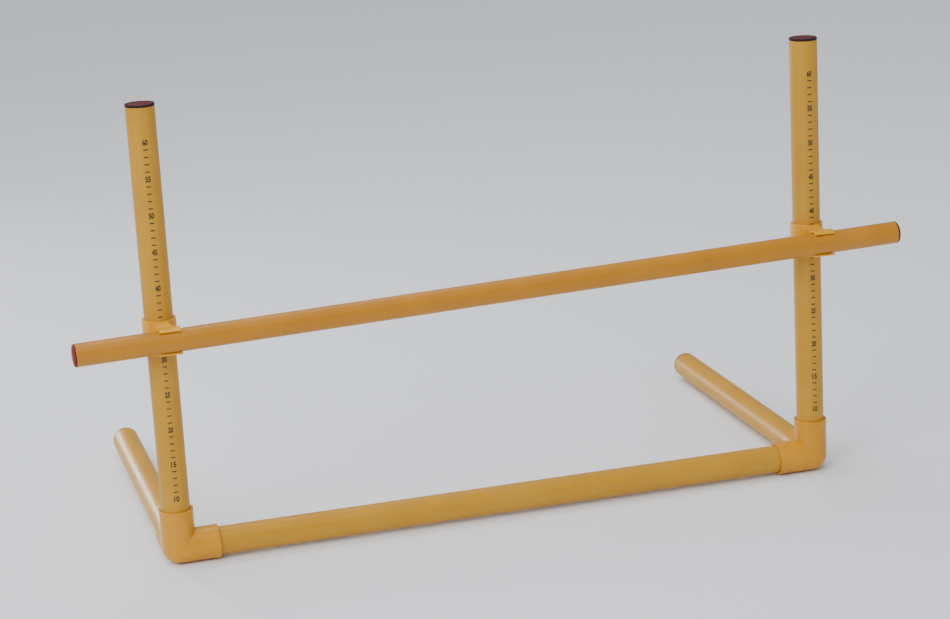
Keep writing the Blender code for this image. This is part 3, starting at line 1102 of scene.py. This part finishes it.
class HURDLE_OT_stage(bpy.types.Operator):
    """Set up the floor, the soft studio light and the camera"""

    bl_idname = "hurdle.stage"
    bl_label = "Stage"

    def execute(self, context):
        scene = context.scene
        start_fresh()
        bpy.ops.mesh.primitive_plane_add(size=FLOOR_SIZE)
        floor = context.object
        floor.name = "studio_floor"
        floor.data.materials.append(floor_finish(scene.hurdle_colours.floor))
        aim = (0, -0.1, 0.3)
        soft_light("key_light", (-2.6, -2.6, 2.4), aim, (2.2, 2.0), 90.0)
        soft_light("top_light", (-0.6, 1.0, 3.0), aim, (3.5, 1.2), 42.0)
        soft_light("fill_light", (2.8, -2.4, 1.4), aim, (2.0, 2.0), 10.0)
        sheen = soft_light("leg_light", (-1.9, 3.9, 0.9), LEG_AIM, (0.5, 1.0), 6.0)
        sheen.data.spread = math.radians(50)
        start_fresh()
        bpy.ops.object.light_add(type="SUN", location=(0, 0, 3), rotation=DAYLIGHT_TURN)
        daylight = context.object
        daylight.name = "broad_light"
        daylight.data.energy = 1.1
        daylight.data.angle = math.radians(50)
        world = bpy.data.worlds.new("studio_world")
        world.use_nodes = True
        background = world.node_tree.nodes["Background"]
        background.inputs["Color"].default_value = (0.93, 0.95, 1.0, 1.0)
        background.inputs["Strength"].default_value = 0.45
        scene.world = world
        turn = [math.radians(degrees) for degrees in CAMERA_TURN]
        start_fresh()
        bpy.ops.object.camera_add(location=CAMERA_PLACE, rotation=turn)
        camera = context.object
        camera.name = "view_camera"
        camera.data.lens = CAMERA_LENS
        camera.data.sensor_width = 36.0
        camera.data.dof.use_dof = False
        scene.camera = camera
        return {"FINISHED"}


# ---- panel and registration -------------------------------------------------------------------
class HURDLE_PT_panel(bpy.types.Panel):
    """Sizes, colours and modelling steps of the hurdle"""

    bl_idname = "HURDLE_PT_panel"
    bl_label = "Training hurdle"
    bl_space_type = "VIEW_3D"
    bl_region_type = "UI"
    bl_category = "Hurdle"

    def draw(self, context):
        layout = self.layout
        for group in (context.scene.hurdle_sizes, context.scene.hurdle_colours):
            box = layout.box()
            for name in group.bl_rna.properties.keys():
                if name not in {"name", "rna_type"}:
                    box.prop(group, name)
        for item in CLASSES:
            if issubclass(item, bpy.types.Operator):
                layout.operator(item.bl_idname)


CLASSES = (
    HurdleSizes,
    HurdleColours,
    HURDLE_OT_base,
    HURDLE_OT_uprights,
    HURDLE_OT_scales,
    HURDLE_OT_elbows,
    HURDLE_OT_clips,
    HURDLE_OT_crossbar,
    HURDLE_OT_plugs,
    HURDLE_OT_stage,
    HURDLE_PT_panel,
)


def register():
    for item in CLASSES:
        bpy.utils.register_class(item)
    bpy.types.Scene.hurdle_sizes = PointerProperty(type=HurdleSizes)
    bpy.types.Scene.hurdle_colours = PointerProperty(type=HurdleColours)


def unregister():
    del bpy.types.Scene.hurdle_colours
    del bpy.types.Scene.hurdle_sizes
    for item in reversed(CLASSES):
        bpy.utils.unregister_class(item)


def main():
    register()
    bpy.ops.hurdle.stage()
    bpy.ops.hurdle.base()
    bpy.ops.hurdle.uprights()
    bpy.ops.hurdle.scales()
    bpy.ops.hurdle.elbows()
    bpy.ops.hurdle.clips()
    bpy.ops.hurdle.crossbar()
    bpy.ops.hurdle.plugs()


if __name__ == "__main__":
    main()
